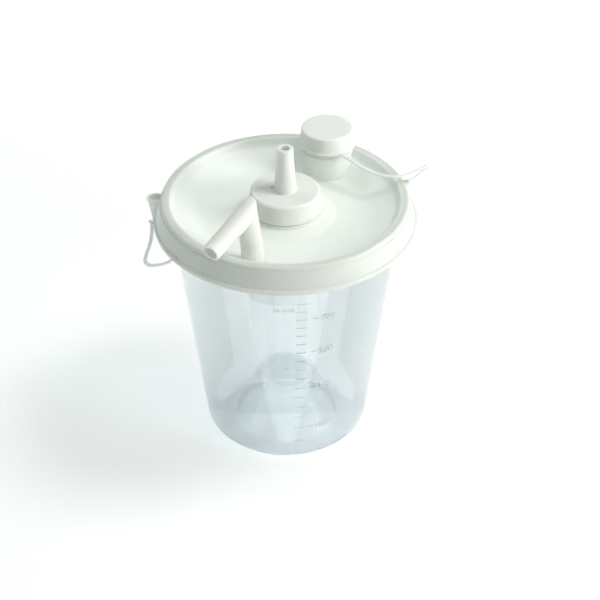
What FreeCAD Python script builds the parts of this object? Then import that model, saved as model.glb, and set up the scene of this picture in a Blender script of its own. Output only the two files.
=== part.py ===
import FreeCAD, Part
import math
import os

from FreeCAD import Vector as V

os.makedirs("parts", exist_ok=True)

# Suction collection canister: clear graduated cup, push-on lid with a filter
# turret, an angled patient port, a capped pour port and a float shut-off valve.
# Millimetres, +Z up, origin in the middle of the foot on the resting plane.

# ---------------------------------------------------------------- dimensions
# cup
WALL_R0 = 42.9          # outer wall radius carried down to z = 0
WALL_SLOPE = 0.121      # radius gained per mm of height
CUP_T = 1.4             # wall thickness
FLOOR_T = 1.6           # floor thickness
CUP_STEP_Z = 130.0      # where the wall steps out into the rim
RIM_R = 60.9            # rim outer radius
RIM_TOP_Z = 137.6       # rim top
HEEL_R = 8.9            # outer corner radius between foot and wall
PUNT_TOP_R = 15.6       # raised base: radius of its flat top
PUNT_TOP_Z = 29.9
PUNT_BASE_R = 27.8      # raised base: radius where it meets the floor
# lid
LIP_R = 62.9            # lip outer corner
LIP_Z = 141.8
LIP_IN_R = 58.6
SKIRT_R = 67.5          # bead at the skirt's lower edge
SKIRT_Z = 128.4
DISH_Z = 131.6          # upper surface of the dish floor
DISH_T = 1.7
SHOULDER_R = 26.3       # foot of the cone below the turret
COLLAR_R = 19.2         # collar round the turret
COLLAR_Z = 136.0
COLLAR_BORE_R = 17.25
WEB_Z0, WEB_Z1 = 129.2, 131.0
AIR_HOLE_R = 6.0
SOCKET_RI, SOCKET_RO, SOCKET_Z = 14.7, 16.3, 124.5
# pour port
POUR_X, POUR_Y = 21.8, 43.4
POUR_RO = 13.0
POUR_RI = 10.4
POUR_TOP_RO = 11.6      # spigot under the cap
POUR_SHOULDER_Z = 146.3
POUR_TOP_Z = 152.6
# pour cap
CAP_TOP_Z = 157.1
CAP_LOW_Z = 147.7
CAP_R_TOP = 13.5
CAP_R_LOW = 14.9
CAP_RI = 11.95
CAP_CEIL_Z = 155.3
# turret and vacuum nozzle
TUR_TOP_Z = 146.4
TUR_R_TOP = 17.0
TUR_R_EDGE = 17.9
TUR_R_LOW = 19.1
TUR_LOW_Z = 136.2
TUR_SPIGOT_R = 17.2
TUR_CAVITY_R = 15.4
TUR_CEIL_Z = 144.6
NOZ_TIP_R = 4.25
NOZ_TIP_Z = 170.5
NOZ_LAND = 4.5          # straight part at the tip
NOZ_BASE_R = 5.8
NOZ_BORE_R = 2.3
# patient port
KNEE = V(-18.0, -43.0, 160.2)
MOUTH = V(-34.8, -66.0, 152.6)
FOOT = V(-15.0, -43.0, 131.0)
TUBE_R_KNEE, TUBE_R_MOUTH = 5.1, 4.6
TUBE_BORE_R = 3.5
TUBE_LAND = 5.0         # straight part at the mouth
LEG_R_LOW = 5.8
DROP_X, DROP_Y = -15.0, -43.0
DROP_R, DROP_BORE_R = 4.4, 3.1
DROP_Z = 126.5
# float valve
CAGE_RI, CAGE_RO = 12.2, 13.6
CAGE_Z0, CAGE_Z1 = 97.0, 129.1
FLOAT_R = 11.4
FLOAT_Z0, FLOAT_Z1 = 100.3, 116.9
FLOAT_TRAVEL = 8.0
SEAT_Z0, SEAT_Z1 = 127.0, 129.1
# small port cap hanging beside the skirt
PC_TOP = V(-68.6, 24.2, 126.0)
PC_TIP = V(-68.0, 22.6, 113.0)
PC_R_TOP, PC_R_TIP = 4.3, 2.5
PC_BORE_TOP, PC_BORE_TIP = 3.55, 2.35
PC_DEPTH = 9.5

O = V(0, 0, 0)
ZZ = V(0, 0, 1)


# ------------------------------------------------------------------- helpers
def rounded(points, closed=True):
    """Edges through (r, z) or (r, z, fillet) points in the XZ plane."""
    pts = [(p[0], p[1], p[2] if len(p) > 2 else 0.0) for p in points]
    n = len(pts)
    ends = []
    for i, (r, z, f) in enumerate(pts):
        p = V(r, 0, z)
        if f <= 0:
            ends.append((p, None, p))
            continue
        a = V(pts[i - 1][0], 0, pts[i - 1][1])
        b = V(pts[(i + 1) % n][0], 0, pts[(i + 1) % n][1])
        u1 = (a - p).normalize()
        u2 = (b - p).normalize()
        half = math.acos(max(-1, min(1, u1.dot(u2)))) / 2
        t = f / math.tan(half)
        bis = (u1 + u2).normalize()
        c = p + bis * (f / math.sin(half))
        ends.append((p + u1 * t, c - bis * f, p + u2 * t))
    edges = []
    for i in range(n):
        s, m, e = ends[i]
        if m is not None:
            edges.append(Part.Arc(s, m, e).toShape())
        nxt = ends[(i + 1) % n][0]
        if (nxt - e).Length > 1e-6:
            edges.append(Part.LineSegment(e, nxt).toShape())
    return edges


def turned(points):
    """Solid of revolution about the Z axis."""
    wire = Part.Wire(rounded(points))
    solid = Part.Face(wire).revolve(O, ZZ, 360)
    if solid.Volume < 0:
        solid.reverse()
    return solid


def cyl(r, z0, z1, x=0.0, y=0.0):
    return Part.makeCylinder(r, z1 - z0, V(x, y, z0))


def ring(ro, ri, z0, z1, x=0.0, y=0.0):
    return cyl(ro, z0, z1, x, y).cut(cyl(ri, z0 - 1, z1 + 1, x, y))


def cone(p, q, rp, rq):
    d = q - p
    if abs(rp - rq) < 1e-9:
        return Part.makeCylinder(rp, d.Length, p, d)
    return Part.makeCone(rp, rq, d.Length, p, d)


def route(points):
    """Straight runs joined by tangent arcs through 3-D points."""
    p = [V(*q) for q in points]
    edges, radii, start = [], [], p[0]
    for i in range(1, len(p) - 1):
        a, b = p[i - 1] - p[i], p[i + 1] - p[i]
        la, lb = a.Length, b.Length
        ua, ub = a / la, b / lb
        inner = math.acos(max(-1, min(1, ua.dot(ub))))
        turn = math.pi - inner
        rad = 0.45 * min(la, lb) / math.tan(turn / 2)
        t = 0.45 * min(la, lb)
        bis = (ua + ub).normalize()
        c = p[i] + bis * (rad / math.sin(inner / 2))
        s, e = p[i] + ua * t, p[i] + ub * t
        edges.append(Part.LineSegment(start, s).toShape())
        edges.append(Part.Arc(s, c - bis * rad, e).toShape())
        radii.append(round(rad, 1))
        start = e
    edges.append(Part.LineSegment(start, p[-1]).toShape())
    return Part.Wire(edges), radii


def strap(points, r):
    """Round-section stand-in for a thin moulded strap."""
    wire, radii = route(points)
    first = wire.Edges[0]
    p0 = first.valueAt(first.FirstParameter)
    d0 = first.tangentAt(first.FirstParameter)
    if (p0 - V(*points[0])).Length > 1e-3:
        p0, d0 = V(*points[0]), V(*points[1]) - V(*points[0])
    circ = Part.Wire([Part.makeCircle(r, p0, d0)])
    solid = wire.makePipeShell([circ], True, True)
    want = math.pi * r * r * wire.Length
    print("strap length %.1f radii %s volume ratio %.4f" % (wire.Length, radii, solid.Volume / want))
    return solid


def fuse(*shapes):
    s = shapes[0].multiFuse(list(shapes[1:])) if len(shapes) > 1 else shapes[0]
    return s.removeSplitter()


def save(name, shape):
    solids = shape.Solids
    print("%-18s solids %d valid %s volume %.1f" % (name, len(solids), shape.isValid(), shape.Volume))
    if len(solids) == 1:
        shape = solids[0]
    shape.exportStep("parts/%s.step" % name)


def wall(z):
    return WALL_R0 + WALL_SLOPE * z


# ----------------------------------------------------------------------- cup
cup = turned([
    (0, PUNT_TOP_Z - 1.4),
    (PUNT_TOP_R - 1.4, PUNT_TOP_Z - 1.4, 1.2),
    (PUNT_BASE_R - 1.6, 0.0, 1.0),
    (WALL_R0, 0.0, HEEL_R),
    (wall(CUP_STEP_Z), CUP_STEP_Z, 1.2),
    (RIM_R, CUP_STEP_Z + 2.2, 0.8),
    (RIM_R, RIM_TOP_Z, 0.7),
    (wall(RIM_TOP_Z) - CUP_T, RIM_TOP_Z, 0.7),
    (WALL_R0 - CUP_T + WALL_SLOPE * FLOOR_T, FLOOR_T, HEEL_R - 1.6),
    (PUNT_BASE_R + 0.4, FLOOR_T, 1.6),
    (PUNT_TOP_R, PUNT_TOP_Z, 1.8),
    (1.5, PUNT_TOP_Z, 0.5),
    (0.9, PUNT_TOP_Z + 0.9, 0.3),
    (0, PUNT_TOP_Z + 0.9),
])
save("cup", cup)

# ----------------------------------------------------------------------- lid
lid = turned([
    (AIR_HOLE_R, WEB_Z1),
    (COLLAR_BORE_R, WEB_Z1),
    (COLLAR_BORE_R, COLLAR_Z),
    (COLLAR_R, COLLAR_Z, 0.35),
    (COLLAR_R + 0.35, COLLAR_Z - 1.5, 1.2),
    (SHOULDER_R, DISH_Z, 1.2),
    (44.0, DISH_Z, 14.0),
    (56.4, 138.0, 5.0),
    (LIP_IN_R, LIP_Z, 0.9),
    (LIP_R, LIP_Z, 1.1),
    (LIP_R + 0.55, 139.6, 0.25),
    (LIP_R + 1.05, 139.3, 0.25),
    (SKIRT_R - 1.1, SKIRT_Z + 2.7, 0.3),
    (SKIRT_R, SKIRT_Z + 2.3, 0.5),
    (SKIRT_R, SKIRT_Z, 0.5),
    (65.5, SKIRT_Z, 0.3),
    (65.3, 130.6),
    (61.5, 139.8, 0.8),
    (58.9, 139.8, 0.6),
    (57.3, 137.2, 4.0),
    (44.4, DISH_Z - DISH_T, 14.0),
    (SOCKET_RO, DISH_Z - DISH_T, 0.6),
    (SOCKET_RO, SOCKET_Z),
    (SOCKET_RI, SOCKET_Z),
    (SOCKET_RI, WEB_Z0),
    (10.6, WEB_Z0),
    (10.6, 126.6),
    (9.3, 126.6),
    (9.3, WEB_Z0),
    (AIR_HOLE_R, WEB_Z0),
])
# pour port neck: merged into the dish, its bore kept inside the cup's rim
neck = fuse(cyl(POUR_RO, DISH_Z - 0.9, POUR_SHOULDER_Z, POUR_X, POUR_Y),
            cyl(POUR_RO + 0.6, 143.4, 145.2, POUR_X, POUR_Y),
            cyl(POUR_TOP_RO, POUR_SHOULDER_Z - 0.5, POUR_TOP_Z, POUR_X, POUR_Y))
top_edges = [e for e in neck.Edges if e.BoundBox.ZMin > POUR_TOP_Z - 0.01]
neck = neck.makeFillet(0.5, top_edges)
# the neck only stands on the lid's own surface, never in the rim channel
above = turned([
    (0, DISH_Z - 0.9), (45.0, DISH_Z - 0.9), (56.9, 138.6), (59.6, 141.0),
    (61.4, 141.0), (61.4, 200.0), (0, 200.0),
])
neck = neck.common(above)
lid = fuse(lid, neck)
bore = cyl(POUR_RI, 141.0, 160.0, POUR_X, POUR_Y)
bore_low = cyl(POUR_RI, 120.0, 141.1, POUR_X, POUR_Y).common(cyl(54.6, 119.0, 142.0))
lid = lid.cut(bore).cut(bore_low)
# patient port socket
lid = fuse(lid, cyl(DROP_R + 1.7, 128.2, DISH_Z - 0.6, DROP_X, DROP_Y))
lid = lid.cut(cyl(DROP_R + 0.03, 120.0, 140.0, DROP_X, DROP_Y))
# centring ribs inside the skirt
for k in range(16):
    a = math.radians(11.25 + 22.5 * k)
    rib = Part.makePolygon([V(61.25, -0.5, 132.2), V(65.0, -0.5, 131.6), V(61.7, -0.5, 139.9), V(61.25, -0.5, 139.9), V(61.25, -0.5, 132.2)])
    rib = Part.Face(Part.Wire(rib.Edges)).extrude(V(0, 1.0, 0))
    rib.rotate(O, ZZ, math.degrees(a))
    lid = lid.fuse(rib)
# tabs that the two tether straps are moulded to
TAB_R = V(62.3, 16.1, 140.0)
TAB_L = V(-54.2, -39.0, 130.6)
for t, half in ((TAB_R, 1.5), (TAB_L, 1.5)):
    a = math.degrees(math.atan2(t.y, t.x))
    rr = math.hypot(t.x, t.y)
    tab = Part.makeBox(3.6, 2 * half, 1.6, V(rr - 2.3, -half, t.z - 0.8))
    tab.rotate(O, ZZ, a)
    lid = lid.fuse(tab)
lid = lid.removeSplitter()
save("lid", lid)

save("lid_seal", turned([(59.2, 137.85, 0.4), (61.2, 137.85, 0.4), (61.2, 139.5, 0.5), (59.2, 139.5, 0.5)]))

# -------------------------------------------------- turret with vacuum nozzle
turret = turned([
    (NOZ_BORE_R, NOZ_TIP_Z, 0.25),
    (NOZ_TIP_R, NOZ_TIP_Z, 0.5),
    (NOZ_TIP_R, NOZ_TIP_Z - NOZ_LAND),
    (NOZ_BASE_R, TUR_TOP_Z, 0.8),
    (TUR_R_TOP, TUR_TOP_Z, 0.4),
    (TUR_R_EDGE, TUR_TOP_Z - 0.8, 0.4),
    (TUR_R_LOW, TUR_LOW_Z, 0.3),
    (TUR_SPIGOT_R, TUR_LOW_Z),
    (TUR_SPIGOT_R, WEB_Z1 + 0.1),
    (TUR_CAVITY_R, WEB_Z1 + 0.1),
    (TUR_CAVITY_R, TUR_CEIL_Z, 1.5),
    (NOZ_BORE_R, TUR_CEIL_Z, 0.3),
])
turret = fuse(turret, Part.makeSphere(0.95, V(-6.6, 1.4, TUR_TOP_Z + 0.5)).common(
    Part.makeBox(6, 6, 6, V(-9.6, -1.6, TUR_TOP_Z - 0.6))))
save("vacuum_turret", turret)

# filter stack inside the turret
save("filter_disc", cyl(15.25, 141.6, 143.0))
grid = fuse(cyl(15.25, 140.0, 141.5), ring(15.25, 13.6, 131.1, 140.2))
for k in range(6):
    a = math.radians(60 * k)
    grid = grid.cut(cyl(2.2, 138, 143, 8.6 * math.cos(a), 8.6 * math.sin(a)))
grid = grid.cut(cyl(2.2, 138, 143))
save("filter_grid", grid)

# ------------------------------------------------------- float shut-off valve
save("valve_seat", turned([(4.2, 127.4), (5.4, SEAT_Z0), (9.25, SEAT_Z0), (9.25, SEAT_Z1), (4.2, SEAT_Z1)]))

cage = fuse(ring(CAGE_RO, CAGE_RI, CAGE_Z0, CAGE_Z1), ring(14.6, CAGE_RI, 122.4, CAGE_Z1))
for k in range(4):
    slot = Part.makeBox(20, 9.0, 15.0, V(0, -4.5, 103.5))
    slot = slot.makeFillet(2.0, [e for e in slot.Edges if abs(e.tangentAt(e.FirstParameter).x) > 0.9])
    slot.rotate(O, ZZ, 45 + 90 * k)
    cage = cage.cut(slot)
save("float_cage", cage)

base = fuse(cyl(CAGE_RO, 95.0, 96.95), ring(12.1, 10.6, 96.5, 100.0))
base = base.cut(cyl(2.4, 94, 98))
for k in range(5):
    a = math.radians(72 * k)
    base = base.cut(cyl(2.1, 94, 98, 6.6 * math.cos(a), 6.6 * math.sin(a)))
save("cage_cap", base)

flt = turned([
    (0, FLOAT_Z1 - 1.4),
    (FLOAT_R - 1.3, FLOAT_Z1 - 1.4, 1.0),
    (FLOAT_R - 1.3, FLOAT_Z0),
    (FLOAT_R, FLOAT_Z0, 0.4),
    (FLOAT_R, FLOAT_Z1, 1.8),
    (6.6, FLOAT_Z1),
    (6.6, FLOAT_Z1 - 0.5),
    (0, FLOAT_Z1 - 0.5),
])
save("float_body", flt)
save("float_seal", turned([(0, FLOAT_Z1 - 0.5), (6.5, FLOAT_Z1 - 0.5), (6.5, 118.0, 0.4), (5.6, 118.7, 0.4), (0, 118.7)]))

# -------------------------------------------------------------- patient port
axis = MOUTH - KNEE
land0 = MOUTH - axis.normalize() * TUBE_LAND
axis = MOUTH - KNEE
back = KNEE - axis.normalize() * 12.0
axis = MOUTH - KNEE
slope = (TUBE_R_KNEE - TUBE_R_MOUTH) / (land0 - KNEE).Length
tube = fuse(cone(back, land0, TUBE_R_KNEE + 12.0 * slope, TUBE_R_MOUTH), cone(land0, MOUTH, TUBE_R_MOUTH, TUBE_R_MOUTH))
rim_edges = [e for e in tube.Edges if e.Curve.TypeId == "Part::GeomCircle" and (e.Curve.Center - MOUTH).Length < 0.01]
tube = tube.makeFillet(0.4, rim_edges)
leg_axis = FOOT - KNEE
above_knee = KNEE - (FOOT - KNEE).normalize() * 12.0
slope = (LEG_R_LOW - TUBE_R_KNEE) / leg_axis.Length
leg = cone(above_knee, FOOT, TUBE_R_KNEE - 12.0 * slope, LEG_R_LOW)
# mitre: tube and leg meet on the plane that halves the angle of the elbow
mitre = (FOOT - KNEE).normalize() - (MOUTH - KNEE).normalize()
leg_side = Part.makeBox(80, 80, 60, V(-40, -40, 0))
leg_side.Placement = FreeCAD.Placement(KNEE, FreeCAD.Rotation(ZZ, mitre))
tube_side = Part.makeBox(80, 80, 60, V(-40, -40, 0))
tube_side.Placement = FreeCAD.Placement(KNEE, FreeCAD.Rotation(ZZ, mitre * -1))
tube = tube.common(tube_side)
leg = leg.common(leg_side)
skin = turned([
    (0, DISH_Z), (44.0, DISH_Z, 14.0), (56.4, 138.0, 5.0),
    (LIP_IN_R, LIP_Z), (LIP_IN_R, 200.0), (0, 200.0),
])
leg = leg.common(skin)
drop = cyl(DROP_R, DROP_Z, DISH_Z + 3.0, DROP_X, DROP_Y)
port = fuse(tube, leg, drop)
hollow = fuse(
    cone(KNEE, MOUTH + axis * 0.05, TUBE_BORE_R - 0.1, TUBE_BORE_R),
    Part.makeSphere(TUBE_BORE_R - 0.1, KNEE),
    cone(KNEE, V(DROP_X, DROP_Y, DISH_Z + 3.0), TUBE_BORE_R - 0.1, DROP_BORE_R),
    Part.makeSphere(DROP_BORE_R, V(DROP_X, DROP_Y, DISH_Z + 3.0)),
    cyl(DROP_BORE_R, DROP_Z - 1, DISH_Z + 3.0, DROP_X, DROP_Y),
)
port = port.cut(hollow)
save("patient_port", port)

# short tube under the lid that turns the inflow towards the wall
defl = ring(6.1, DROP_R + 0.03, 117.5, 128.1, DROP_X, DROP_Y)
cutter = Part.makeBox(40, 40, 20, V(-20, -20, -20))
cutter.rotate(O, V(1, 0, 0), -24)
cutter.rotate(O, ZZ, math.degrees(math.atan2(DROP_Y, DROP_X)) + 90)
cutter.translate(V(DROP_X, DROP_Y, 120.2))
defl = defl.cut(cutter)
save("inlet_deflector", defl)

# ------------------------------------------------------------------ pour cap
capp = turned([
    (0, CAP_TOP_Z),
    (CAP_R_TOP, CAP_TOP_Z, 0.9),
    (CAP_R_TOP + 0.9, CAP_LOW_Z + 1.7, 0.3),
    (CAP_R_LOW, CAP_LOW_Z + 1.4, 0.3),
    (CAP_R_LOW, CAP_LOW_Z, 0.3),
    (CAP_RI + 0.5, CAP_LOW_Z),
    (CAP_RI, CAP_LOW_Z + 0.6),
    (CAP_RI, CAP_CEIL_Z, 0.5),
    (0, CAP_CEIL_Z),
])
capp.translate(V(POUR_X, POUR_Y, 0))
save("pour_cap", capp)
save("pour_cap_seal", ring(11.7, 9.7, 152.95, 155.2, POUR_X, POUR_Y))

# ------------------------------------------------------------- tether straps
STRAP_R = 0.85
POUR_TETHER = [
    (29.55, 30.1, 148.3), (34.7, 25.1, 147.5), (41.0, 18.5, 146.5), (49.6, 13.4, 145.8),
    (58.9, 12.9, 145.5), (66.0, 16.3, 145.9), (71.6, 20.8, 146.5), (74.2, 24.0, 145.9), (73.9, 25.2, 143.9),
    (71.2, 23.0, 142.2), (67.4, 19.4, 140.9), (63.6, 16.4, 140.0),
]
pour_tether = strap(POUR_TETHER, STRAP_R)
save("pour_cap_tether", pour_tether)

PORT_TETHER = [
    (-56.1, -40.4, 130.3), (-59.6, -39.1, 127.6), (-64.2, -35.2, 123.8), (-68.4, -29.6, 119.8),
    (-71.3, -22.1, 116.8), (-71.4, -13.3, 114.7), (-70.6, -4.6, 113.4), (-70.0, 4.2, 112.8),
    (-70.3, 12.6, 112.4), (-70.5, 18.6, 112.2),
]
port_tether = strap(PORT_TETHER, STRAP_R)
save("port_cap_tether", port_tether)

# --------------------------------------------------- small cap for the port
pc_axis = PC_TOP - PC_TIP
n = V(pc_axis.x, pc_axis.y, pc_axis.z).normalize()
pcap = cone(PC_TIP, PC_TOP, PC_R_TIP, PC_R_TOP)
pcap = fuse(pcap, cone(PC_TOP - n * 1.3, PC_TOP, PC_R_TOP + 0.35, PC_R_TOP + 0.35))
pcap = pcap.cut(cone(PC_TOP - n * PC_DEPTH, PC_TOP + n * 0.001, PC_BORE_TIP + 0.15, PC_BORE_TOP))
eye = V(-70.2, 20.6, 112.3)
eyelet = Part.makeTorus(1.75, 0.75, eye, V(0.25, 0.35, 0.9))
pcap = fuse(pcap, eyelet, cone(eye + V(1.3, 1.2, 0.1), PC_TIP + n * 0.6, 0.9, 1.3))
save("port_cap", pcap)

print("pour tether gap to cap %.2f" % pour_tether.distToShape(capp)[0])
print("pour tether to lid %.2f" % pour_tether.distToShape(lid)[0])
print("port tether to lid %.2f, to cup %.2f" % (port_tether.distToShape(lid)[0], port_tether.distToShape(cup)[0]))
print("port cap to lid %.2f" % pcap.distToShape(lid)[0])
print("port tether to port cap overlap %.3f" % port_tether.common(pcap).Volume)
print("cup to lid %.2f" % cup.distToShape(lid)[0])
print("patient port overlap lid %.4f, turret gap %.2f" % (port.common(lid).Volume, port.distToShape(turret)[0]))
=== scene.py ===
import bpy, bmesh, math
from mathutils import Vector, Matrix


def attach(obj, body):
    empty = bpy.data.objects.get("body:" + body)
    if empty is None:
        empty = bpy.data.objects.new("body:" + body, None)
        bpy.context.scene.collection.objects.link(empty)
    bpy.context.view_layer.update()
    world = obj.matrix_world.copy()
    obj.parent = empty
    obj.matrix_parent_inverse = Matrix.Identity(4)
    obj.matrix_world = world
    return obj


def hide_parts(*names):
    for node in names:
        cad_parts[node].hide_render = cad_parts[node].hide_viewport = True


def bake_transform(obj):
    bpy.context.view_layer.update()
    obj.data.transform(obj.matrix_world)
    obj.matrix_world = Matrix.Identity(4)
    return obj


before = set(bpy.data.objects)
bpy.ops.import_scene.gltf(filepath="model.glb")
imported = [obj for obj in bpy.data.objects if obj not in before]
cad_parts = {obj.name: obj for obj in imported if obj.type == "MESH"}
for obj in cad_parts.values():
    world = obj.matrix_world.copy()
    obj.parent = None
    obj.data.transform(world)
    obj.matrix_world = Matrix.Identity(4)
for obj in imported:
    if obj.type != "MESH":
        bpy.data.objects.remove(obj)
bpy.context.view_layer.update()

scene = bpy.context.scene
MM = 0.001

# ------------------------------------------------------------------ camera
cam_data = bpy.data.cameras.new("camera")
cam_data.sensor_width = 36.0
cam_data.lens = 97.8
cam_data.clip_start, cam_data.clip_end = 0.05, 20.0
camera = bpy.data.objects.new("camera", cam_data)
scene.collection.objects.link(camera)
camera.location = (0.00749, -0.6974, 0.5933)
camera.rotation_euler = (math.radians(90 - 36.55), 0, 0)
scene.camera = camera
scene.view_settings.view_transform = "Standard"
scene.view_settings.look = "None"


# --------------------------------------------------------------- materials
class Mat:
    """A small builder for one procedural material."""

    def __init__(self, name):
        self.m = bpy.data.materials.new(name)
        self.m.use_nodes = True
        self.t = self.m.node_tree
        self.p = self.t.nodes["Principled BSDF"]
        self.out = self.t.nodes["Material Output"]
        self.geo = None

    def node(self, kind, **values):
        n = self.t.nodes.new(kind)
        for k, v in values.items():
            if k.startswith("_"):
                setattr(n, k[1:], v)
            else:
                n.inputs[k.replace("_", " ")].default_value = v
        return n

    def link(self, a, b):
        self.t.links.new(a, b)

    def coords(self):
        if self.geo is None:
            self.geo = self.node("ShaderNodeTexCoord")
        return self.geo.outputs["Object"]

    def noise(self, scale, detail=3.0, rough=0.55, stretch=None):
        n = self.node("ShaderNodeTexNoise", Scale=scale, Detail=detail, Roughness=rough)
        src = self.coords()
        if stretch:
            mp = self.node("ShaderNodeMapping", Scale=stretch)
            self.link(src, mp.inputs["Vector"])
            src = mp.outputs["Vector"]
        self.link(src, n.inputs["Vector"])
        return n.outputs["Fac"]

    def ramp(self, fac, stops):
        r = self.node("ShaderNodeValToRGB")
        e = r.color_ramp.elements
        while len(e) < len(stops):
            e.new(0.5)
        for i, (pos, col) in enumerate(stops):
            e[i].position = pos
            e[i].color = (*col, 1.0)
        self.link(fac, r.inputs["Fac"])
        return r.outputs["Color"]

    def span(self, fac, lo, hi, f0=0.0, f1=1.0):
        r = self.node("ShaderNodeMapRange", From_Min=f0, From_Max=f1, To_Min=lo, To_Max=hi)
        self.link(fac, r.inputs["Value"])
        return r.outputs["Result"]

    def bump(self, heights, distance=0.0001, strength=1.0):
        normal = None
        for h, s in heights:
            b = self.node("ShaderNodeBump", Strength=s * strength, Distance=distance)
            self.link(h, b.inputs["Height"])
            if normal is not None:
                self.link(normal, b.inputs["Normal"])
            normal = b.outputs["Normal"]
        self.link(normal, self.p.inputs["Normal"])


def moulded(name, light, dark, rough=(0.34, 0.46), sss=0.12, grain=0.25, flow=(1, 1, 1), depth=0.005, glow=0.0, tint=(0.97, 0.98, 0.88)):
    """Moulded thermoplastic: soft tone drift from wall thickness, fine spark grain, faint flow marks."""
    k = Mat(name)
    broad = k.noise(26.0, 3.0, 0.5)
    k.link(k.ramp(broad, [(0.30, dark), (0.70, light)]), k.p.inputs["Base Color"])
    fine = k.noise(2600.0, 2.0, 0.6)
    flowm = k.noise(160.0, 4.0, 0.6, stretch=flow)
    k.link(k.span(flowm, rough[0], rough[1], 0.3, 0.7), k.p.inputs["Roughness"])
    k.bump([(fine, grain), (flowm, 0.10)], distance=0.00012)
    k.p.inputs["Specular IOR Level"].default_value = 0.42
    k.p.inputs["Subsurface Weight"].default_value = sss
    k.p.inputs["Subsurface Radius"].default_value = (1.0, 0.95, 0.85)
    k.p.inputs["Subsurface Scale"].default_value = depth
    k.p.inputs["IOR"].default_value = 1.5
    if glow > 0:
        back = k.node("ShaderNodeBsdfTranslucent")
        back.inputs["Color"].default_value = (*tint, 1)
        mix = k.node("ShaderNodeMixShader")
        mix.inputs[0].default_value = glow
        k.link(k.p.outputs[0], mix.inputs[1])
        k.link(back.outputs[0], mix.inputs[2])
        k.link(mix.outputs[0], k.out.inputs["Surface"])
    return k.m


M_LID = moulded("lid_white", (0.872, 0.905, 0.865), (0.838, 0.876, 0.834), rough=(0.30, 0.42), sss=0.5, grain=0.12, flow=(0.6, 0.6, 2.0))
M_TURRET = moulded("turret_white", (0.945, 0.962, 0.925), (0.91, 0.93, 0.89), rough=(0.30, 0.42), sss=0.4, grain=0.12, flow=(1, 1, 0.4), depth=0.003, glow=0.10)
M_PORT = moulded("port_white", (0.97, 0.975, 0.945), (0.94, 0.948, 0.915), rough=(0.28, 0.40), sss=0.4, grain=0.10, depth=0.003, glow=0.20)
M_CAP = moulded("cap_white", (0.945, 0.955, 0.925), (0.915, 0.926, 0.895), rough=(0.38, 0.50), sss=0.4, grain=0.18, depth=0.003, glow=0.06)
M_STRAP = moulded("strap_white", (0.86, 0.87, 0.87), (0.80, 0.82, 0.82), rough=(0.34, 0.46), sss=0.5, grain=0.15)
M_CAGE = moulded("cage_white", (0.84, 0.855, 0.85), (0.78, 0.80, 0.795), rough=(0.40, 0.52), sss=0.10, grain=0.20)
M_FLOAT = moulded("float_plastic", (0.78, 0.82, 0.86), (0.70, 0.75, 0.80), rough=(0.36, 0.50), sss=0.10, grain=0.20)
M_SEAL = moulded("seal_rubber", (0.70, 0.71, 0.70), (0.62, 0.63, 0.62), rough=(0.55, 0.72), sss=0.05, grain=0.40)


def zoned(mat, obj, r0, r1, outer):
    """Painted shade: base colour scaled from 1 at radius r0 down to outer beyond r1 from the vertical axis, so the
    thin skirt, which has no bright dish around it, reads darker.
    """
    t = mat.node_tree
    p = t.nodes["Principled BSDF"]
    src = p.inputs["Base Color"].links[0].from_socket
    home = obj.matrix_world.inverted() @ Vector((0, 0, 0))
    co = t.nodes.new("ShaderNodeTexCoord")
    sub = t.nodes.new("ShaderNodeVectorMath")
    sub.operation = "SUBTRACT"
    sub.inputs[1].default_value = home
    t.links.new(co.outputs["Object"], sub.inputs[0])
    flat = t.nodes.new("ShaderNodeVectorMath")
    flat.operation = "MULTIPLY"
    flat.inputs[1].default_value = (1, 1, 0)
    t.links.new(sub.outputs[0], flat.inputs[0])
    far = t.nodes.new("ShaderNodeVectorMath")
    far.operation = "LENGTH"
    t.links.new(flat.outputs[0], far.inputs[0])
    fade = t.nodes.new("ShaderNodeMapRange")
    for key, value in (("From Min", r0), ("From Max", r1), ("To Min", 1.0), ("To Max", outer)):
        fade.inputs[key].default_value = value
    t.links.new(far.outputs["Value"], fade.inputs["Value"])
    tone = t.nodes.new("ShaderNodeVectorMath")
    tone.operation = "SCALE"
    t.links.new(src, tone.inputs[0])
    t.links.new(fade.outputs["Result"], tone.inputs["Scale"])
    t.links.new(tone.outputs[0], p.inputs["Base Color"])


def felt(name):
    """Pressed filter medium: matted fibres."""
    k = Mat(name)
    a = k.noise(3000.0, 6.0, 0.75)
    b = k.noise(900.0, 4.0, 0.7, stretch=(1, 3, 1))
    k.link(k.ramp(a, [(0.3, (0.78, 0.78, 0.75)), (0.7, (0.93, 0.93, 0.91))]), k.p.inputs["Base Color"])
    k.link(k.span(b, 0.85, 0.98), k.p.inputs["Roughness"])
    k.bump([(a, 0.9), (b, 0.5)], distance=0.0003)
    k.p.inputs["Sheen Weight"].default_value = 0.3
    return k.m


M_FELT = felt("filter_felt")


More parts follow.
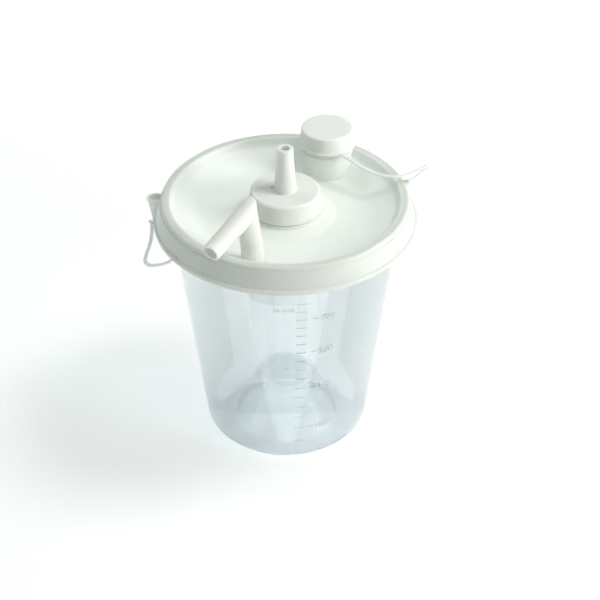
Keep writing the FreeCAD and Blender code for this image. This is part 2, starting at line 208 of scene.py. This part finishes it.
def clear_plastic(name):
    """Clear styrene-like wall: refracts, a faint blue tint, mould ripple; lamps shine through it."""
    k = Mat(name)
    ripple = k.noise(30.0, 2.0, 0.5, stretch=(1, 1, 0.25))
    k.bump([(ripple, 0.16)], distance=0.0006)
    haze = k.noise(70.0, 3.0, 0.5)
    k.link(k.span(haze, 0.03, 0.07, 0.35, 0.65), k.p.inputs["Roughness"])
    k.p.inputs["Base Color"].default_value = (0.830, 0.862, 0.878, 1)
    k.p.inputs["Transmission Weight"].default_value = 1.0
    k.p.inputs["IOR"].default_value = 1.33
    lp = k.node("ShaderNodeLightPath")
    tr = k.node("ShaderNodeBsdfTransparent")
    tr.inputs["Color"].default_value = (0.935, 0.955, 0.965, 1)
    mix = k.node("ShaderNodeMixShader")
    part = k.node("ShaderNodeMath")
    part.operation = "MAXIMUM"
    part.inputs[1].default_value = 0.42
    k.link(lp.outputs["Is Shadow Ray"], part.inputs[0])
    k.link(part.outputs[0], mix.inputs[0])
    k.link(k.p.outputs[0], mix.inputs[1])
    k.link(tr.outputs[0], mix.inputs[2])
    k.link(mix.outputs[0], k.out.inputs["Surface"])
    return k.m


M_CLEAR = clear_plastic("clear_plastic")


def ink(name, light, dark):
    """Screen-printed ink: slightly uneven deposit."""
    k = Mat(name)
    n = k.noise(1400.0, 4.0, 0.7)
    k.link(k.ramp(n, [(0.35, dark), (0.65, light)]), k.p.inputs["Base Color"])
    k.link(k.span(n, 0.35, 0.6), k.p.inputs["Roughness"])
    k.bump([(n, 0.2)], distance=0.00003)
    return k.m


M_INK = ink("scale_ink", (0.47, 0.51, 0.53), (0.36, 0.40, 0.42))


# ------------------------------------------------------------ mesh helpers
def rounded(points, steps=7, closed=True):
    """(r, z) polyline through (r, z, fillet) corners; arcs get steps segments."""
    pts = [(p[0], p[1], p[2] if len(p) > 2 else 0.0) for p in points]
    n, out = len(pts), []
    for i, (r, z, f) in enumerate(pts):
        p = Vector((r, z))
        if f <= 0:
            out.append(p)
            continue
        a, b = Vector(pts[i - 1][:2]), Vector(pts[(i + 1) % n][:2])
        u1, u2 = (a - p).normalized(), (b - p).normalized()
        half = math.acos(max(-1, min(1, u1.dot(u2)))) / 2
        bis = (u1 + u2).normalized()
        c = p + bis * (f / math.sin(half))
        s, e = p + u1 * (f / math.tan(half)) - c, p + u2 * (f / math.tan(half)) - c
        a0 = math.atan2(s.y, s.x)
        turn = math.atan2(s.x * e.y - s.y * e.x, s.dot(e))
        for q in range(steps + 1):
            t = a0 + turn * q / steps
            out.append(c + Vector((math.cos(t), math.sin(t))) * f)
    return out


def finish_mesh(me, angle=32.0):
    me.validate()
    for p in me.polygons:
        p.use_smooth = True
    me.set_sharp_from_angle(angle=math.radians(angle))


def add(name, me, mat, body, replaces=()):
    o = bpy.data.objects.new(name, me)
    scene.collection.objects.link(o)
    me.materials.clear()
    me.materials.append(mat)
    if body:
        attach(o, body)
    if replaces:
        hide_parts(*replaces)
    return o


def turned(name, profile, segments=256, centre=(0.0, 0.0)):
    """Closed solid of revolution from an (r, z) loop in mm. Points at r = 0 become poles."""
    bm = bmesh.new()
    rows = []
    for r, z in profile:
        if r < 1e-6:
            rows.append([bm.verts.new((centre[0] * MM, centre[1] * MM, z * MM))])
        else:
            rows.append([bm.verts.new(((centre[0] + r * math.cos(2 * math.pi * k / segments)) * MM,
                                       (centre[1] + r * math.sin(2 * math.pi * k / segments)) * MM, z * MM)) for k in range(segments)])
    n = len(rows)
    for i in range(n):
        a, b = rows[i], rows[(i + 1) % n]
        if len(a) == 1 and len(b) == 1:
            continue
        for k in range(segments):
            k2 = (k + 1) % segments
            if len(a) == 1:
                f = (a[0], b[k2], b[k])
            elif len(b) == 1:
                f = (a[k], a[k2], b[0])
            else:
                f = (a[k], a[k2], b[k2], b[k])
            bm.faces.new(f)
    bmesh.ops.recalc_face_normals(bm, faces=bm.faces)
    if bm.calc_volume(signed=True) < 0:
        bmesh.ops.reverse_faces(bm, faces=bm.faces)
    me = bpy.data.meshes.new(name)
    bm.to_mesh(me)
    bm.free()
    finish_mesh(me)
    return me


# --------------------------------------------------------------------- cup
WALL_R0, WALL_SLOPE, CUP_T, FLOOR_T = 42.9, 0.121, 1.4, 1.6
RIM_R, RIM_TOP, HEEL_R, STEP_Z = 60.9, 137.6, 8.9, 130.0
PUNT_TR, PUNT_TZ, PUNT_BR = 15.6, 29.9, 27.8


def wall(z):
    return WALL_R0 + WALL_SLOPE * z


def split_rows(a, b, n):
    """Extra points between two wall points, so that the wall isn't one long band."""
    return [(a[0] + (b[0] - a[0]) * k / n, a[1] + (b[1] - a[1]) * k / n) for k in range(1, n)]


outer_lo, outer_hi = (wall(14.0), 14.0), (wall(124.0), 124.0)
inner_lo, inner_hi = (wall(14.0) - CUP_T, 14.0), (wall(124.0) - CUP_T, 124.0)
cup_profile = rounded(
    [(0, PUNT_TZ - 1.4), (PUNT_TR - 1.4, PUNT_TZ - 1.4, 1.2), (PUNT_BR - 1.6, 0.0, 1.0), (WALL_R0, 0.0, HEEL_R), outer_lo]
    + split_rows(outer_lo, outer_hi, 10)
    + [outer_hi, (wall(STEP_Z), STEP_Z, 1.2), (RIM_R, STEP_Z + 2.2, 0.8), (RIM_R, RIM_TOP, 0.7),
       (wall(RIM_TOP) - CUP_T, RIM_TOP, 0.7), inner_hi]
    + split_rows(inner_hi, inner_lo, 10)
    + [inner_lo, (WALL_R0 - CUP_T + WALL_SLOPE * FLOOR_T, FLOOR_T, HEEL_R - 1.6), (PUNT_BR + 0.4, FLOOR_T, 0.7),
       (PUNT_TR, PUNT_TZ, 1.8), (4.3, PUNT_TZ, 0.4), (3.6, PUNT_TZ - 0.55, 0.5), (1.9, PUNT_TZ - 0.55, 0.5), (1.2, PUNT_TZ + 0.9, 0.5), (0, PUNT_TZ + 0.9)], steps=9)
cup = add("cup_shell", turned("cup_shell", cup_profile, 288), M_CLEAR, "cup", ["cup"])


# -------------------------------------------------- printed volume scale
def cavity_level(target_ml):
    """Height at which the cavity holds target_ml, from the cup's inner profile."""
    z, v, dz = FLOOR_T, 0.0, 0.1
    f = HEEL_R - 1.6
    while v < target_ml * 1000 and z < 130:
        zc = z + dz / 2
        ri = wall(zc) - CUP_T
        h = zc - FLOOR_T
        if h < f:
            ri -= 0.93 * (f - math.sqrt(max(0.0, f * f - (f - h) ** 2)))
        rp = PUNT_BR + 0.4 - (PUNT_BR + 0.4 - PUNT_TR) * (zc - FLOOR_T) / (PUNT_TZ - FLOOR_T) if zc < PUNT_TZ else 0.0
        v += math.pi * (ri * ri - rp * rp) * dz
        z += dz
    return z


COS_A = 1 / math.hypot(1, WALL_SLOPE)


def on_wall(az_deg, dx, z0, dy, lift=0.03):
    """Point in metres on the cup's outer wall: az from -Y towards +X, dx and dy in mm along the surface."""
    z = z0 + dy * COS_A
    r = wall(z) + lift
    a = math.radians(az_deg) + dx / wall(z0)
    return Vector((r * math.sin(a), -r * math.cos(a), z)) * MM


def bent(me, az, z0, lift=0.03, thick=0.05, step=0.5):
    """Cuts a flat mesh into narrow columns, bends it on to the cup's wall and gives it thickness."""
    bm = bmesh.new()
    bm.from_mesh(me)
    xs = [v.co.x for v in bm.verts]
    x = math.floor(min(xs) / step) * step + step
    while x < max(xs):
        geom = bm.verts[:] + bm.edges[:] + bm.faces[:]
        bmesh.ops.bisect_plane(bm, geom=geom, plane_co=(x, 0, 0), plane_no=(1, 0, 0))
        x += step
    bmesh.ops.remove_doubles(bm, verts=bm.verts[:], dist=1e-4)
    bmesh.ops.triangulate(bm, faces=bm.faces[:])
    ret = bmesh.ops.extrude_face_region(bm, geom=bm.faces[:])
    top = {v for v in ret["geom"] if isinstance(v, bmesh.types.BMVert)}
    for v in bm.verts:
        v.co = on_wall(az, v.co.x, z0, v.co.y, lift + (thick if v in top else 0.0))
    bmesh.ops.recalc_face_normals(bm, faces=bm.faces[:])
    bm.to_mesh(me)
    bm.free()


def flat_text(text, height):
    cu = bpy.data.curves.new("glyphs", "FONT")
    cu.body = text
    cu.size = height / 0.7
    cu.resolution_u = 4
    cu.align_x = "LEFT"
    ob = bpy.data.objects.new("glyphs", cu)
    scene.collection.objects.link(ob)
    bpy.context.view_layer.update()
    me = bpy.data.meshes.new_from_object(ob.evaluated_get(bpy.context.evaluated_depsgraph_get()))
    bpy.data.objects.remove(ob)
    bpy.data.curves.remove(cu)
    return me


def flat_bars(bars):
    """Rectangles (x0, y0, x1, y1) in mm as one flat mesh."""
    bm = bmesh.new()
    for x0, y0, x1, y1 in bars:
        bm.faces.new([bm.verts.new((x, y, 0)) for x, y in ((x0, y0), (x1, y0), (x1, y1), (x0, y1))])
    me = bpy.data.meshes.new("bars")
    bm.to_mesh(me)
    bm.free()
    return me


def printed(name, me, az, z0):
    bent(me, az, z0)
    me.name = name
    add(name, me, M_INK, "cup")


levels = {v: cavity_level(v) for v in range(50, 801, 50)}
for v, z in levels.items():
    if z > 14:
        half = 0.16
        printed("scale_tick_%d" % v, flat_bars([(-2.3, -half, 3.0 if v < 800 else 4.2, half)]), 8.3, z)
for v in (100, 300, 500, 700):
    z = levels[v]
    printed("scale_dash_%d" % v, flat_bars([(0.0, -0.2, 3.2, 0.2)]), 14.6, z)
    me = flat_text(str(v), 3.6)
    for q in me.vertices:
        q.co.y -= 1.8
    printed("scale_number_%d" % v, me, 18.6, z)
printed("scale_units", flat_text("cc (ml)", 2.6), -5.7, levels[800] - 4.6)


# --------------------------------------------- CAD nodes with their materials
for names, mat in (
    (("lid",), M_LID), (("vacuum_turret",), M_TURRET), (("filter_grid", "float_cage", "cage_cap"), M_CAGE),
    (("patient_port", "inlet_deflector"), M_PORT), (("pour_cap", "port_cap"), M_CAP), (("float_body",), M_FLOAT),
    (("lid_seal", "valve_seat", "float_seal", "pour_cap_seal"), M_SEAL), (("filter_disc",), M_FELT),
):
    for n in names:
        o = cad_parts[n]
        for s in o.material_slots:
            s.material = mat
# painted shade: the lid skirt's base colour falls to 0.78 of itself beyond 60.5 mm radius
zoned(M_LID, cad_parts["lid"], 0.0575, 0.0605, 0.78)


# ---------------------------------------------------------- tether straps
def quadratic(points, per=14):
    """Smooth line through control points: clamped quadratic B-spline."""
    p = [Vector(q) for q in points]
    n = len(p)
    out = [p[0]]
    for i in range(1, n - 1):
        a = p[0] if i == 1 else (p[i - 1] + p[i]) / 2
        b = p[-1] if i == n - 2 else (p[i] + p[i + 1]) / 2
        for k in range(1, per + 1):
            t = k / per
            out.append(a * (1 - t) ** 2 + p[i] * 2 * t * (1 - t) + b * t * t)
    return out


def ribbon(name, points, width, thick, wide0, corner=0.28, grow=None):
    """Flat strap with rounded edges, swept with a frame that doesn't twist. Millimetres."""
    line = quadratic(points)
    m = len(line)
    tang = [(line[min(i + 1, m - 1)] - line[max(i - 1, 0)]).normalized() for i in range(m)]
    w = Vector(wide0)
    w = (w - tang[0] * w.dot(tang[0])).normalized()
    frames = []
    for i in range(m):
        if i:
            w = w - tang[i] * w.dot(tang[i])
            w.normalize()
        frames.append((w.copy(), tang[i].cross(w).normalized()))
    ring = []
    hw, ht, c, q = width / 2, thick / 2, corner, 4
    for sx, sy, a0 in ((1, 1, 0), (-1, 1, 90), (-1, -1, 180), (1, -1, 270)):
        for k in range(q + 1):
            a = math.radians(a0 + 90 * k / q)
            ring.append((sx * (hw - c) + c * math.cos(a), sy * (ht - c) + c * math.sin(a)))
    bm = bmesh.new()
    rows = []
    for i, (pt, (fw, fn)) in enumerate(zip(line, frames)):
        g = grow(i / (m - 1)) if grow else 1.0
        rows.append([bm.verts.new((pt + fw * (x * g) + fn * y) * MM) for x, y in ring])
    for a, b in zip(rows, rows[1:]):
        for k in range(len(ring)):
            k2 = (k + 1) % len(ring)
            bm.faces.new((a[k], a[k2], b[k2], b[k]))
    bm.faces.new(list(reversed(rows[0])))
    bm.faces.new(rows[-1])
    bmesh.ops.recalc_face_normals(bm, faces=bm.faces[:])
    me = bpy.data.meshes.new(name)
    bm.to_mesh(me)
    bm.free()
    finish_mesh(me, 40)
    return me


POUR_TETHER = [
    (29.55, 30.1, 148.3), (34.7, 25.1, 147.5), (41.0, 18.5, 146.5), (49.6, 13.4, 145.8),
    (58.9, 12.9, 145.5), (66.0, 16.3, 145.9), (71.6, 20.8, 146.5), (74.2, 24.0, 145.9), (73.9, 25.2, 143.9),
    (71.2, 23.0, 142.2), (67.4, 19.4, 140.9), (63.6, 16.4, 140.0),
]
PORT_TETHER = [
    (-56.1, -40.4, 130.3), (-59.6, -39.1, 127.6), (-64.2, -35.2, 123.8), (-68.4, -29.6, 119.8),
    (-71.3, -22.1, 116.8), (-71.4, -13.3, 114.7), (-70.6, -4.6, 113.4), (-70.0, 4.2, 112.8),
    (-70.3, 12.6, 112.4), (-70.5, 18.6, 112.2),
]


def ends_wide(t):
    return 1.0 + 0.35 * math.exp(-(t / 0.035) ** 2) + 0.35 * math.exp(-((1 - t) / 0.035) ** 2)


pour_strap = add("pour_cap_strap", ribbon("pour_cap_strap", POUR_TETHER, 1.9, 0.95, (0.7, 0.7, 0.0), grow=ends_wide),
                 M_STRAP, None, ["pour_cap_tether"])
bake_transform(pour_strap)
port_strap = add("port_cap_strap", ribbon("port_cap_strap", PORT_TETHER, 2.0, 1.0, (0.3, 0.9, 0.0), grow=ends_wide),
                 M_STRAP, "port_cap", ["port_cap_tether"])

# --------------------------------------------------------- floor and light
bm = bmesh.new()
S, R = 3.0, 24
for i in range(R):
    for j in range(R):
        x0, x1 = -S + 2 * S * i / R, -S + 2 * S * (i + 1) / R
        y0, y1 = -S + 2 * S * j / R, -S + 2 * S * (j + 1) / R
        bm.faces.new([bm.verts.new((x, y, -0.0002)) for x, y in ((x0, y0), (x1, y0), (x1, y1), (x0, y1))])
bmesh.ops.remove_doubles(bm, verts=bm.verts[:], dist=1e-5)
floor_me = bpy.data.meshes.new("floor")
bm.to_mesh(floor_me)
bm.free()
floor = bpy.data.objects.new("floor", floor_me)
scene.collection.objects.link(floor)
k = Mat("floor_pale")
k.p.inputs["Base Color"].default_value = (0.96, 0.955, 0.965, 1)
# painted light: the floor glows by emission, 0.175 near the cup rising to 0.46 by 0.95 m out, which whitens the far
# floor and leaves the cast shadows near the cup showing
k.p.inputs["Emission Color"].default_value = (1.0, 0.99, 1.0, 1)
flat = k.node("ShaderNodeVectorMath")
flat.operation = "LENGTH"
k.link(k.coords(), flat.inputs[0])
k.link(k.span(flat.outputs["Value"], 0.175, 0.46, 0.22, 0.95), k.p.inputs["Emission Strength"])
k.p.inputs["Roughness"].default_value = 0.75
k.p.inputs["Specular IOR Level"].default_value = 0.2
floor_me.materials.append(k.m)

world = bpy.data.worlds.new("studio")
scene.world = world
world.use_nodes = True
# soft surround: bright overhead and behind, dim in front and near the horizon
wt = world.node_tree
wt.nodes["Background"].inputs["Color"].default_value = (0.90, 0.99, 0.945, 1)
coord = wt.nodes.new("ShaderNodeTexCoord")
split = wt.nodes.new("ShaderNodeSeparateXYZ")
wt.links.new(coord.outputs["Generated"], split.inputs[0])
high = wt.nodes.new("ShaderNodeMath")
high.operation = "MULTIPLY"
high.inputs[1].default_value = 0.85
wt.links.new(split.outputs["Z"], high.inputs[0])
back = wt.nodes.new("ShaderNodeMath")
back.operation = "MULTIPLY_ADD"
back.inputs[1].default_value = 0.20
wt.links.new(split.outputs["Y"], back.inputs[0])
wt.links.new(high.outputs[0], back.inputs[2])
span = wt.nodes.new("ShaderNodeMapRange")
for key, value in (("From Min", -0.35), ("From Max", 0.95), ("To Min", 0.16), ("To Max", 0.54)):
    span.inputs[key].default_value = value
wt.links.new(back.outputs[0], span.inputs["Value"])
wt.links.new(span.outputs["Result"], wt.nodes["Background"].inputs["Strength"])


def lamp(name, loc, target, size, power, color=(1, 1, 1)):
    d = bpy.data.lights.new(name, "AREA")
    d.shape = "DISK"
    d.size = size
    d.energy = power
    d.color = color
    o = bpy.data.objects.new(name, d)
    scene.collection.objects.link(o)
    o.location = loc
    o.rotation_euler = (Vector(target) - Vector(loc)).to_track_quat("-Z", "Y").to_euler()
    return o


lamp("key_right", (0.69, 0.0, 1.20), (0, 0, 0.08), 0.50, 6.6, (1.0, 0.98, 0.94))
lamp("low_right", (0.98, -0.34, 0.40), (0, 0, 0.10), 0.50, 6.1, (1.0, 0.985, 0.95))
lamp("left_back", (-0.46, 0.50, 1.20), (0, 0, 0.08), 0.45, 1.9, (0.94, 1.0, 0.96))

bpy.context.view_layer.update()
